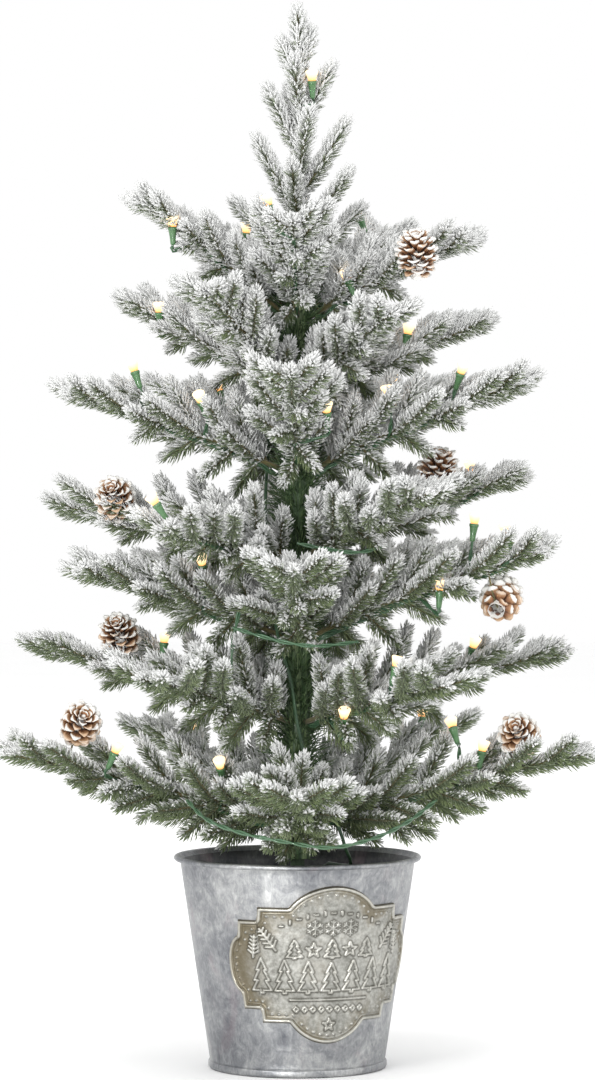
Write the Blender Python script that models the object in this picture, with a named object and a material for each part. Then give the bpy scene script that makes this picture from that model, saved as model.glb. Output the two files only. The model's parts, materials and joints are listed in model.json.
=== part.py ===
"""Tabletop fir in a galvanised bucket, modelled as its separate pieces.

Metres, +Z up, the front of the tree faces -Y. The origin is on the trunk axis where the
bucket's foot meets the table.
"""
import math

import bmesh
import bpy
from mathutils import Matrix, Vector

# ---------------------------------------------------------------- fits
part_gap = 0.0003          # between pieces that only lie against each other
plaque_gap = 0.0005        # between the curved plaque and the bucket's facets
root_gap = 0.0004          # between a branch root and the neck of the garland

# ---------------------------------------------------------------- bucket
bucket_height = 0.1215
rim_radius = 0.0710        # outside of the rolled rim
foot_radius = 0.05125      # outside of the seamed foot
foot_height = 0.0040
foot_ledge = 0.0012        # fold that the base disc lies on
foot_fold = 0.0028         # how far that fold reaches inwards
foot_stand = 0.00105       # how far the seamed foot stands out from the wall
sheet = 0.0006
rim_wire_radius = 0.0006
rim_curl = math.radians(300)
curl_outer = rim_wire_radius + part_gap + sheet
wall_foot_radius = foot_radius - foot_stand             # outside of the wall just above the foot
wall_top_radius = rim_radius - 2 * curl_outer - sheet   # outside of the wall just below the rim
around_bucket = 40

# ---------------------------------------------------------------- plaque
plaque_turn = math.radians(18.5)   # to the right of the front
plaque_centre_height = 0.0643
plaque_thickness = 0.0011
plaque_half_height = 0.0450
plaque_half_width = 0.0600
lobe_half_width = 0.0237           # of the round top and bottom
shoulder_height = 0.0330
shoulder_end = 0.0403
corner_height = 0.0255
corner_end = 0.0520
side_lobe_height = 0.0165
step_run = 0.0008                  # how far a step takes to drop

# ---------------------------------------------------------------- weight and trunk
block_height = 0.0360
pole_radius = 0.0040
pole_above_tiers = 0.0220          # from the highest roots to the top of the pole
garland_radius = 0.0165
garland_wall = 0.0012              # thickness left at the necks
neck_half_height = 0.0036
groove_half_height = 0.0140
around_trunk = 16

# ---------------------------------------------------------------- branches
root_radius = 0.0020
stem_radius = 0.0016
tip_thickness = 0.0060             # radius of a needled twig
bare_stem = 0.0150                 # from the root to the first needles
twig_length = 0.0560
twig_reach = 0.1500                # the reach at which a twig has that length
smallest_twig = 0.72               # share of that length on the shortest branches
twig_angle = math.radians(37)
twig_lift = 0.06                   # rise of a twig's tip, as a share of its length
stem_bend_share = 0.45             # where a stem's curve is pulled to, along and up
stem_bend_rise = 0.62
riser_angle = math.radians(52)
riser_lean = 0.30                  # how far a rising twig leans aside
riser_share = 0.70                 # of a twig's length
stem_points = 5
twig_widths = (0.45, 1.0, 0.95, 0.30)   # of a twig's thickness, from its root to its tip

# Each tier has the height of its roots above the rim, then its branches: the side that they
# point to, degrees from +X, how far the tip is from the axis, how far it rises.
tiers = (
    (0.3085, (("front", 268, 0.090, 0.048), ("right", 342, 0.108, 0.043), ("back_right", 54, 0.095, 0.050),
              ("back_left", 126, 0.090, 0.046), ("left", 197, 0.100, 0.066))),
    (0.2635, (("front_right", 304, 0.098, 0.044), ("right", 17, 0.117, 0.041), ("back", 90, 0.100, 0.045),
              ("left", 163, 0.110, 0.054), ("front_left", 237, 0.102, 0.058))),
    (0.2200, (("front", 268, 0.116, 0.056), ("right", 343, 0.140, 0.050), ("back_right", 54, 0.126, 0.047),
              ("back_left", 126, 0.124, 0.045), ("left", 198, 0.141, 0.044))),
    (0.1710, (("front_right", 306, 0.126, 0.036), ("right", 18, 0.138, 0.044), ("back", 90, 0.125, 0.038),
              ("left", 163, 0.149, 0.026), ("front_left", 234, 0.134, 0.016))),
    (0.1250, (("front", 269, 0.130, 0.041), ("right", 342, 0.150, 0.049), ("back_right", 54, 0.140, 0.044),
              ("back_left", 126, 0.138, 0.042), ("left", 198, 0.134, 0.038))),
    (0.0765, (("front_right", 305, 0.148, 0.026), ("right", 18, 0.163, 0.036), ("back", 90, 0.148, 0.034),
              ("left", 163, 0.167, 0.041), ("front_left", 235, 0.154, 0.030))),
    (0.0160, (("front", 270, 0.148, 0.027), ("right", 342, 0.1765, 0.045), ("back_right", 54, 0.160, 0.050),
              ("back_left", 126, 0.156, 0.048), ("left", 198, 0.1765, 0.045))),
)

# share of the stem where a twig leaves, the side it leaves to, its share of the twig length
twigs = ((0.40, 1, 1.00), (0.46, -1, 1.00), (0.68, 1, 0.86), (0.74, -1, 0.82))
riser_place = 0.26

# ---------------------------------------------------------------- leader
leader_length = 0.1575
leader_radius = 0.0068
leader_sway = 0.0020               # how far its stem bows aside
leader_points = 9
leader_twigs = ((0.22, 205, 0.046, 50), (0.30, 335, 0.044, 52), (0.50, 200, 0.036, 46), (0.58, 20, 0.038, 50))

# ---------------------------------------------------------------- pine cones
cone_radius = 0.0120
cone_length = 0.0260
around_cone = 10
# tier, branch, share of the stem, offset to the branch's left, height above the stem, lean in degrees
cones = (
    (1, "right", 0.755, -0.035, -0.001, 20),
    (4, "right", 0.58, -0.016, 0.021, 20),
    (4, "left", 0.70, 0.019, 0.013, 50),
    (5, "right", 0.80, 0.007, -0.018, 60),
    (6, "left", 0.60, 0.024, 0.0215, 40),
    (7, "left", 0.76, 0.014, 0.026, 60),
    (7, "right", 0.77, -0.011, 0.019, 60),
)

# ---------------------------------------------------------------- battery box
cell_radius = 0.00725
cell_length = 0.0505
cell_spacing = 0.0006              # between neighbouring cells
cell_gap = 0.0004
cell_nub = 0.0012                  # of the positive end
case_wall = 0.0020
case_clear_of_pole = 0.0060        # from the pole to the box
contact_height = 0.0030
contact_thickness = 0.0008
board_room = 0.0075                # above the cells, for the timer
board_thickness = 0.0012
lid_thickness = 0.0016
lid_lap = 0.0013                   # how far the lid runs into each groove
lip = 0.0009                       # of the rails behind the lid
switch_half = 0.0050               # half the length of the switch's slot
switch_travel = 0.0040
switch_flange = 0.0012             # of the switch's foot, under the case
switch_stem = 0.0026
switch_rise = 0.0024

# ---------------------------------------------------------------- light wire
wire_radius = 0.0010
wire_clear = 0.0011                # between the wire and the garland
wire_points = 64
wire_start = 306                   # heading of the wire above the lowest tier, in degrees
wire_turn = 36                     # how far it winds round the trunk from tier to tier
wire_swing = 24                    # how far it stays back between two tiers


# ================================================================ helpers
def clear_scene():
    for item in list(bpy.data.objects):
        bpy.data.objects.remove(item, do_unlink=True)


def material(name, colour, roughness, metallic=0.0):
    made = bpy.data.materials.new(name)
    made.use_nodes = True
    shader = made.node_tree.nodes["Principled BSDF"]
    shader.inputs["Base Color"].default_value = (*colour, 1.0)
    shader.inputs["Roughness"].default_value = roughness
    shader.inputs["Metallic"].default_value = metallic
    return made


def place(name, mesh, finish, parent=None, location=(0, 0, 0), turn=0.0):
    item = bpy.data.objects.new(name, mesh)
    bpy.context.scene.collection.objects.link(item)
    item.location = location
    item.rotation_euler = (0, 0, turn)
    item.parent = parent
    if finish is not None:
        item.data.materials.append(finish)
    return item


def as_guide(item):
    item.display_type = "WIRE"
    item.hide_render = True
    return item


def smooth(mesh, angle=35):
    mesh.shade_smooth()
    mesh.set_sharp_from_angle(angle=math.radians(angle))


def turned(name, outline, steps):
    """A closed outline of (radius, height) points, turned once round the Z axis."""
    shape = bmesh.new()
    points = [shape.verts.new((radius, 0, height)) for radius, height in outline]
    edges = [shape.edges.new((a, b)) for a, b in zip(points, points[1:] + points[:1])
             if a.co.x > 0 or b.co.x > 0]
    bmesh.ops.spin(shape, geom=points + edges, cent=(0, 0, 0), axis=(0, 0, 1), angle=2 * math.pi,
                   steps=steps, use_merge=True)
    bmesh.ops.remove_doubles(shape, verts=shape.verts, dist=1e-6)
    bmesh.ops.recalc_face_normals(shape, faces=shape.faces)
    mesh = bpy.data.meshes.new(name)
    shape.to_mesh(mesh)
    shape.free()
    smooth(mesh)
    return mesh


def box(name, low, high):
    """A box between two corners."""
    low, high = Vector(low), Vector(high)
    shape = bmesh.new()
    bmesh.ops.create_cube(shape, size=1.0)
    bmesh.ops.scale(shape, vec=high - low, verts=shape.verts)
    bmesh.ops.translate(shape, vec=(low + high) / 2, verts=shape.verts)
    mesh = bpy.data.meshes.new(name)
    shape.to_mesh(mesh)
    shape.free()
    return mesh


def boolean(item, tool, operation):
    change = item.modifiers.new(operation.lower(), "BOOLEAN")
    change.operation = operation
    change.solver = "EXACT"
    change.object = tool
    change.use_self = operation == "UNION"


def tubes(name, runs, resolution=1):
    """A mesh of round tubes. Each run is a list of (point, radius)."""
    curve = bpy.data.curves.new(name, "CURVE")
    curve.dimensions = "3D"
    curve.bevel_depth = 1.0
    curve.bevel_resolution = resolution
    curve.use_fill_caps = True
    for run in runs:
        spline = curve.splines.new("POLY")
        spline.points.add(len(run) - 1)
        for target, (point, radius) in zip(spline.points, run):
            target.co = (*point, 1.0)
            target.radius = radius
    holder = bpy.data.objects.new(name, curve)
    mesh = bpy.data.meshes.new_from_object(holder)
    bpy.data.objects.remove(holder)
    shape = bmesh.new()
    shape.from_mesh(mesh)
    bmesh.ops.remove_doubles(shape, verts=shape.verts, dist=1e-6)
    bmesh.ops.recalc_face_normals(shape, faces=shape.faces)
    shape.to_mesh(mesh)
    shape.free()
    smooth(mesh, 60)
    return mesh


def arc(centre, radius, start, sweep, steps):
    return [(centre[0] + radius * math.cos(start + sweep * i / steps),
             centre[1] + radius * math.sin(start + sweep * i / steps)) for i in range(steps + 1)]


def bezier(a, b, c, t):
    return a * (1 - t) ** 2 + b * (2 * t * (1 - t)) + c * t ** 2


# ================================================================ bucket
wall_low = foot_height
wall_high = bucket_height - 2 * curl_outer


def wall_outside(height):
    share = (height - wall_low) / (wall_high - wall_low)
    return wall_foot_radius + (wall_top_radius - wall_foot_radius) * share


def wall_inside(height):
    return wall_outside(height) - sheet


def make_bucket(zinc, wire_steel):
    curl_inner = curl_outer - sheet
    curl_centre = (rim_radius - curl_outer, bucket_height - curl_outer)
    inner_foot = foot_radius - foot_fold
    curl = arc(curl_centre, curl_outer, math.pi, -rim_curl, 6)
    lining = arc(curl_centre, curl_inner, math.pi, -rim_curl, 6)
    outline = [(inner_foot, 0), (foot_radius, 0), (foot_radius, foot_height),
               (wall_outside(foot_height + sheet), foot_height + sheet),
               (wall_top_radius, wall_high)]
    outline += lining + list(reversed(curl))
    outline += [(wall_inside(wall_high), wall_high), (wall_inside(foot_height), foot_height),
                (wall_inside(foot_height), foot_ledge), (inner_foot, foot_ledge)]
    place("bucket_shell", turned("bucket_shell", outline, around_bucket), zinc)

    disc_radius = wall_inside(foot_height) - part_gap
    disc = [(0, foot_ledge + part_gap), (disc_radius, foot_ledge + part_gap),
            (disc_radius, foot_ledge + part_gap + sheet), (0, foot_ledge + part_gap + sheet)]
    place("bucket_base", turned("bucket_base", disc, around_bucket), zinc)

    hoop = arc(curl_centre, rim_wire_radius, 0, 2 * math.pi, 6)[:-1]
    place("rim_wire", turned("rim_wire", hoop, around_bucket), wire_steel)


# ================================================================ plaque
def plaque_edge(across):
    """Half the plaque's height at a distance from its middle."""
    across = abs(across)
    rise = plaque_half_height - shoulder_height
    bow = (lobe_half_width ** 2 + rise ** 2) / (2 * rise)
    if across <= lobe_half_width:
        return plaque_half_height - bow + math.sqrt(bow ** 2 - across ** 2)
    if across <= shoulder_end:
        return shoulder_height
    if across <= shoulder_end + step_run:
        return shoulder_height + (corner_height - shoulder_height) * (across - shoulder_end) / step_run
    if across <= corner_end:
        return corner_height
    if across <= corner_end + step_run:
        return corner_height + (side_lobe_height - corner_height) * (across - corner_end) / step_run
    share = (across - corner_end) / (plaque_half_width - corner_end)
    return side_lobe_height * math.sqrt(max(0.0, 1 - share ** 2))


def make_plaque(brass):
    lobe = [lobe_half_width * i / 5 for i in range(6)]
    steps = [(lobe_half_width + shoulder_end) / 2, shoulder_end, shoulder_end + step_run,
             (shoulder_end + corner_end) / 2, corner_end, corner_end + step_run]
    side = [corner_end + (plaque_half_width - corner_end) * share for share in (0.4, 0.75, 0.985)]
    half = lobe + steps + side
    columns = [-across for across in reversed(half[1:])] + half
    middle_radius = wall_outside(plaque_centre_height)

    def spot(across, up, depth):
        height = plaque_centre_height + up
        radius = wall_outside(height) + plaque_gap + depth
        angle = -math.pi / 2 + plaque_turn + across / middle_radius
        return radius * math.cos(angle), radius * math.sin(angle), height

    shape = bmesh.new()
    rings = []
    for across in columns:
        edge = plaque_edge(across)
        corners = ((-edge, 0), (edge, 0), (edge, plaque_thickness), (-edge, plaque_thickness))
        rings.append([shape.verts.new(spot(across, up, depth)) for up, depth in corners])
    for near, far in zip(rings, rings[1:]):
        for i in range(4):
            j = (i + 1) % 4
            shape.faces.new((near[i], near[j], far[j], far[i]))
    shape.faces.new(rings[0])
    shape.faces.new(rings[-1])
    bmesh.ops.recalc_face_normals(shape, faces=shape.faces)
    mesh = bpy.data.meshes.new("plaque")
    shape.to_mesh(mesh)
    shape.free()
    smooth(mesh)
    place("plaque", mesh, brass)


# ================================================================ weight and trunk
block_low = foot_ledge + 2 * part_gap + sheet
block_top = block_low + block_height
neck_radius = pole_radius + part_gap + garland_wall
hinge_radius = neck_radius + root_gap + root_radius


def tier_height(tier):
    return bucket_height + tier[0]


def make_trunk(cement, steel, tinsel):
    bore = pole_radius + part_gap
    block = [(bore, block_low), (wall_inside(foot_height) - part_gap, block_low),
             (wall_inside(foot_height) - part_gap, foot_height),
             (wall_inside(block_top) - part_gap, block_top), (bore, block_top)]
    place("weight_block", turned("weight_block", block, around_bucket), cement)

    pole = [(0, block_low), (pole_radius, block_low), (pole_radius, crown), (0, crown)]
    place("trunk_pole", turned("trunk_pole", pole, around_trunk), steel)

    outside = []
    for tier in reversed(tiers):
        height = tier_height(tier)
        outside += [(garland_radius, height - groove_half_height), (neck_radius, height - neck_half_height),
                    (neck_radius, height + neck_half_height), (garland_radius, height + groove_half_height)]
    low = outside[0][1]
    outline = [(bore, low), (neck_radius, low)] + outside[1:-1]
    outline += [(neck_radius, crown - part_gap), (bore, crown - part_gap)]
    place("trunk_garland", turned("trunk_garland", outline, around_trunk), tinsel)


# ================================================================ branches
def stem_curve(reach, rise):
    """Where the middle of a branch's stem is, as a function of its share, seen from the root."""
    length = reach - hinge_radius
    start = Vector((0, 0, 0))
    bend = Vector((length * stem_bend_share, 0, rise * stem_bend_rise))
    end = Vector((length, 0, rise))
    return lambda share: bezier(start, bend, end, share)


def along(curve, share):
    step = 0.01
    return (curve(min(1, share + step)) - curve(max(0, share - step))).normalized()


def swell(share, bare):
    """Radius of a needled stem: thin up to its first needles, full after them, drawn in at the tip."""
    if share < bare:
        return stem_radius + (root_radius - stem_radius) * (1 - share / bare)
    return tip_thickness * min(1.0, 0.45 + (share - bare) / bare, (1.02 - share) * 6 + 0.22)


def stem_run(reach, rise):
    curve = stem_curve(reach, rise)
    bare = bare_stem / (reach - hinge_radius)
    shares = [0, bare * 0.98, bare * 1.05, bare * 1.7]
    shares += [bare * 1.7 + (1 - bare * 1.7) * (i + 1) / stem_points for i in range(stem_points - 1)]
    shares += [0.97, 1.0]
    return [(curve(share), swell(share, bare)) for share in sorted(shares)]


def twig_run(start, direction, length, thickness=tip_thickness):
    """A side twig: it starts inside the stem, fills out, lifts a little and ends in a blunt point."""
    run = []
    for share, width in zip((0, 0.30, 0.76, 1.0), twig_widths):
        lift = Vector((0, 0, length * twig_lift * share ** 2))
        run.append((start + direction * length * share + lift, thickness * width))
    return run


def side_runs(reach, rise, flip):
    curve = stem_curve(reach, rise)
    size = twig_length * max(smallest_twig, min(1.0, reach / twig_reach))
    runs = []
    for share, side, part in twigs:
        tangent = along(curve, share)
        sideways = Vector((0, side * flip, 0))
        direction = tangent * math.cos(twig_angle) + sideways * math.sin(twig_angle)
        runs.append(twig_run(curve(share), direction, size * part))
    tangent = along(curve, riser_place)
    upright = Vector((-tangent.z, -riser_lean * flip, tangent.x)).normalized()
    direction = tangent * math.cos(riser_angle) + upright * math.sin(riser_angle)
    runs.append(twig_run(curve(riser_place), direction, size * riser_share))
    return runs


def joined(name, main, sides, finish, location, turn, parent=None):
    """One solid from a stem and the twigs that grow out of it."""
    item = place(name, tubes(name, [main]), finish, parent, location, turn)
    tool = as_guide(place(name + "_twigs", tubes(name + "_twigs", sides, 0), None, None, location, turn))
    boolean(item, tool, "UNION")
    return item


def branch_name(number, side):
    return f"branch{number}_{side}"


def make_branches(needles):
    made = {}
    for number, tier in enumerate(tiers, 1):
        for index, (side, heading, reach, rise) in enumerate(tier[1]):
            turn = math.radians(heading)
            place_of_root = Vector((hinge_radius * math.cos(turn), hinge_radius * math.sin(turn),
                                    tier_height(tier)))
            flip = 1 if (number + index) % 2 else -1
            made[number, side] = joined(branch_name(number, side), stem_run(reach, rise),
                                        side_runs(reach, rise, flip), needles, place_of_root, turn)
    return made


def make_leader(needles):
    low = crown + 2 * part_gap
    stem = []
    for i in range(leader_points + 1):
        share = i / leader_points
        full = leader_radius * min(1.0, 0.5 + share * 3, (1.03 - share) * 5 + 0.12)
        width = pole_radius * 0.6 if i == 0 else full
        stem.append((Vector((leader_sway * math.sin(3 * share), 0, leader_length * share)), width))
    sides = []
    for share, heading, length, slope in leader_twigs:
        turn, lean = math.radians(heading), math.radians(slope)
        direction = Vector((math.cos(turn) * math.cos(lean), math.sin(turn) * math.cos(lean), math.sin(lean)))
        sides.append(twig_run(Vector((0, 0, leader_length * share)), direction, length, leader_radius * 0.85))
    joined("top_leader", stem, sides, needles, (0, 0, low), 0.0)


# ================================================================ pine cones
def make_cones(branches, scales):
    profile = [(0, 0), (0.30, 0.02), (0.78, 0.14), (1.0, 0.36),
               (0.94, 0.56), (0.66, 0.80), (0.28, 0.97), (0, 1)]
    outline = [(radius * cone_radius, height * cone_length) for radius, height in profile]
    for number, side, share, aside, above, lean in cones:
        reach, rise = next(entry[2:] for entry in tiers[number - 1][1] if entry[0] == side)
        spot = stem_curve(reach, rise)(share) + Vector((0, aside, above))
        mesh = turned("pine_cone", outline[::-1], around_cone)
        tilt = Matrix.Rotation(math.radians(lean) * (1 if aside < 0 else -1), 4, "X")
        mesh.transform(tilt @ Matrix.Translation((0, 0, -cone_length / 2)))
        place(f"pine_cone_{number}_{side}", mesh, scales, branches[number, side], spot)


# ================================================================ battery box
cell_pitch = 2 * cell_radius + cell_spacing
cells_wide = 2 * cell_pitch + 2 * cell_radius
room_half = cells_wide / 2 + cell_gap
room_low = block_top + part_gap + case_wall
room_high = room_low + 2 * contact_height + cell_length + board_room
case_low = block_top + part_gap
case_high = room_high + case_wall
case_front = pole_radius + case_clear_of_pole
room_front = case_front + case_wall
cell_middle = room_front + cell_gap + cell_radius
groove_front = cell_middle + cell_radius + cell_gap
groove_back = groove_front + lid_thickness + 2 * part_gap
case_back = groove_back + lip
case_half = room_half + lid_lap + case_wall


def make_battery_box(shell, lid_plastic, wrap, spring_steel, board_green):
    case = place("battery_case", box("battery_case", (-case_half, case_front, case_low),
                                     (case_half, case_back, case_high)), shell)
    beyond = 0.02
    cuts = (
        ("cell_room", (-room_half, room_front, room_low), (room_half, case_back + beyond, room_high)),
        ("lid_groove", (-room_half - lid_lap - part_gap, groove_front, room_low),
         (room_half + lid_lap + part_gap, groove_back, case_high + beyond)),
        ("back_window", (-room_half, groove_back - part_gap, room_low),
         (room_half, case_back + beyond, case_high + beyond)),
        ("switch_slot", (-switch_half, cell_middle - switch_stem / 2 - part_gap, room_high - 0.001),
         (switch_half + part_gap, cell_middle + switch_stem / 2 + part_gap, case_high + beyond)),
    )
    for name, low, high in cuts:
        boolean(case, as_guide(place(name, box(name, low, high), None)), "DIFFERENCE")

    half = room_half + lid_lap
    front = groove_front + part_gap
    place("battery_lid", box("battery_lid", (-half, front, room_low + part_gap),
                             (half, front + lid_thickness, case_high)), lid_plastic)

    cell_low = room_low + contact_height
    body_length = cell_length - cell_nub
    nub_radius = cell_radius * 0.4
    profile = [(0, 0), (cell_radius, 0), (cell_radius, body_length), (nub_radius, body_length),
               (nub_radius, cell_length), (0, cell_length)]
    for index in range(3):
        across = (index - 1) * cell_pitch
        place(f"battery_cell_{index + 1}", turned("battery_cell", profile, 16), wrap, None,
              (across, cell_middle, cell_low))

    reach = cell_radius - cell_gap
    for name, low in (("contact_springs", room_low + contact_height - contact_thickness - part_gap),
                      ("contact_plates", cell_low + cell_length + part_gap)):
        place(name, box(name, (-room_half + part_gap, cell_middle - reach, low),
                        (room_half - part_gap, cell_middle + reach, low + contact_thickness)), spring_steel)

    board_low = cell_low + cell_length + contact_height
    place("timer_board", box("timer_board", (-room_half + part_gap, room_front + part_gap, board_low),
                             (room_half - part_gap, groove_front - part_gap, board_low + board_thickness)),
          board_green)

    side = switch_stem / 2
    left = -switch_half + part_gap
    right = switch_half - switch_travel
    knob_low = room_high - switch_flange - part_gap
    knob = place("switch_knob", box("switch_knob", (left, cell_middle - side, knob_low),
                                    (right, cell_middle + side, case_high + switch_rise)), lid_plastic)
    foot = as_guide(place("switch_foot", box("switch_foot",
                    (left - switch_flange, cell_middle - side - switch_flange, room_high - 2 * switch_flange),
                    (right + switch_flange, cell_middle + side + switch_flange, room_high - part_gap)), None))
    boolean(knob, foot, "UNION")


# ================================================================ light wire
def smooth_route(points, count):
    """Evenly spaced points on a Catmull-Rom curve through the route's own points."""
    spots = [Vector(point) for point in points]
    ends = [spots[0] * 2 - spots[1]] + spots + [spots[-1] * 2 - spots[-2]]
    fine = []
    for a, b, c, d in zip(ends, ends[1:], ends[2:], ends[3:]):
        for i in range(24):
            t = i / 24
            fine.append(0.5 * (2 * b + (c - a) * t + (2 * a - 5 * b + 4 * c - d) * t ** 2
                               + (3 * b - a - 3 * c + d) * t ** 3))
    fine.append(spots[-1])
    lengths = [0.0]
    for near, far in zip(fine, fine[1:]):
        lengths.append(lengths[-1] + (far - near).length)
    route, place_now = [], 0
    for i in range(count):
        wanted = lengths[-1] * i / (count - 1)
        while place_now < len(fine) - 2 and lengths[place_now + 1] < wanted:
            place_now += 1
        span = max(1e-9, lengths[place_now + 1] - lengths[place_now])
        share = min(1.0, (wanted - lengths[place_now]) / span)
        route.append(fine[place_now].lerp(fine[place_now + 1], share))
    return route


def on_trunk(heading, height):
    radius = garland_radius + wire_clear + wire_radius
    turn = math.radians(heading)
    return radius * math.cos(turn), radius * math.sin(turn), height


def wire_route():
    """Out of the box, forward over the weight, then up the trunk through a gap of every tier."""
    gland = (case_half * 0.6, cell_middle, case_high + part_gap)
    route = [gland, (case_half * 0.62, cell_middle - 0.002, case_high + 0.008),
             (case_half + 0.004, 0.000, bucket_height - 0.006),
             (case_half + 0.001, -0.016, bucket_height + 0.006),
             (0.022, -0.0165, tier_height(tiers[-1]) + 0.004)]
    for index, tier in enumerate(reversed(tiers[:-1])):
        heading = wire_start - wire_turn * (index + 1)
        height = tier_height(tier)
        below = tier_height(tiers[len(tiers) - 1 - index])
        route.append(on_trunk(heading + wire_swing, (height + below) / 2))
        route.append(on_trunk(heading, height))
    return route


def make_light_wire(green):
    run = [(point, wire_radius) for point in smooth_route(wire_route(), wire_points)]
    place("light_wire", tubes("light_wire", [run], 1), green)


# ================================================================ assembly
crown = tier_height(tiers[0]) + pole_above_tiers


def build():
    clear_scene()
    zinc = material("galvanised_sheet", (0.56, 0.58, 0.60), 0.42, 0.9)
    wire_steel = material("bright_wire", (0.62, 0.63, 0.65), 0.35, 1.0)
    brass = material("aged_brass", (0.52, 0.48, 0.36), 0.38, 0.9)
    cement = material("cast_weight", (0.42, 0.41, 0.39), 0.9)
    steel = material("painted_pole", (0.08, 0.12, 0.06), 0.6, 0.2)
    tinsel = material("green_tinsel", (0.07, 0.13, 0.05), 0.7)
    needles = material("flocked_needles", (0.55, 0.60, 0.52), 0.9)
    scales = material("cone_scales", (0.36, 0.23, 0.14), 0.8)
    shell = material("box_plastic", (0.06, 0.09, 0.06), 0.5)
    wrap = material("cell_wrap", (0.10, 0.10, 0.11), 0.35, 0.3)
    board_green = material("board", (0.05, 0.22, 0.10), 0.5)
    green = material("wire_insulation", (0.05, 0.13, 0.06), 0.45)

    make_bucket(zinc, wire_steel)
    make_plaque(brass)
    make_trunk(cement, steel, tinsel)
    branches = make_branches(needles)
    make_leader(needles)
    make_cones(branches, scales)
    make_battery_box(shell, shell, wrap, wire_steel, board_green)
    make_light_wire(green)
    bpy.context.view_layer.update()


build()
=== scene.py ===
import json
import math

import bmesh
import bpy
import numpy as np
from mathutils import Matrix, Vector


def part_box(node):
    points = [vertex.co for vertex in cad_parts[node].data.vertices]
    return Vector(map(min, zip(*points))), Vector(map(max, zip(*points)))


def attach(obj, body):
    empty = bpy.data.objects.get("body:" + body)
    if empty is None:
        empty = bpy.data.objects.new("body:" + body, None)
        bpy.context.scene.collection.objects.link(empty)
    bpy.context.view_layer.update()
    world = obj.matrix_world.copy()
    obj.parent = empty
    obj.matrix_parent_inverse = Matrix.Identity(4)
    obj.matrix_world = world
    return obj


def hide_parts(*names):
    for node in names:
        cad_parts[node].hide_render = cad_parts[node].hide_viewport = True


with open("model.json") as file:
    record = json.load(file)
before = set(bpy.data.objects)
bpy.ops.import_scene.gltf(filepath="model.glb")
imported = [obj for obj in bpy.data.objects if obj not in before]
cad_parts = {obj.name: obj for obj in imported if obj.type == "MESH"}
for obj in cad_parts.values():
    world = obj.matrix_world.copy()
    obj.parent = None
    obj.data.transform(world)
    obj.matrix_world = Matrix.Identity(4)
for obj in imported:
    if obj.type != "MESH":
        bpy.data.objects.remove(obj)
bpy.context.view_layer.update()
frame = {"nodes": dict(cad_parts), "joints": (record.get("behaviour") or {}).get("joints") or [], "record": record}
print("frame loaded:", len(frame["nodes"]), "nodes")


class Wire:  # an output socket that takes part in plain arithmetic
    def __init__(self, finish, socket):
        self.finish = finish
        self.socket = socket

    def maths(self, operation, first, second):
        return self.finish.node("Math", {"operation": operation}, {0: first, 1: second})

    def __add__(self, other):
        return self.maths("ADD", self, other)

    def __radd__(self, other):
        return self.maths("ADD", other, self)

    def __sub__(self, other):
        return self.maths("SUBTRACT", self, other)

    def __rsub__(self, other):
        return self.maths("SUBTRACT", other, self)

    def __mul__(self, other):
        return self.maths("MULTIPLY", self, other)

    def __rmul__(self, other):
        return self.maths("MULTIPLY", other, self)


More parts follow.
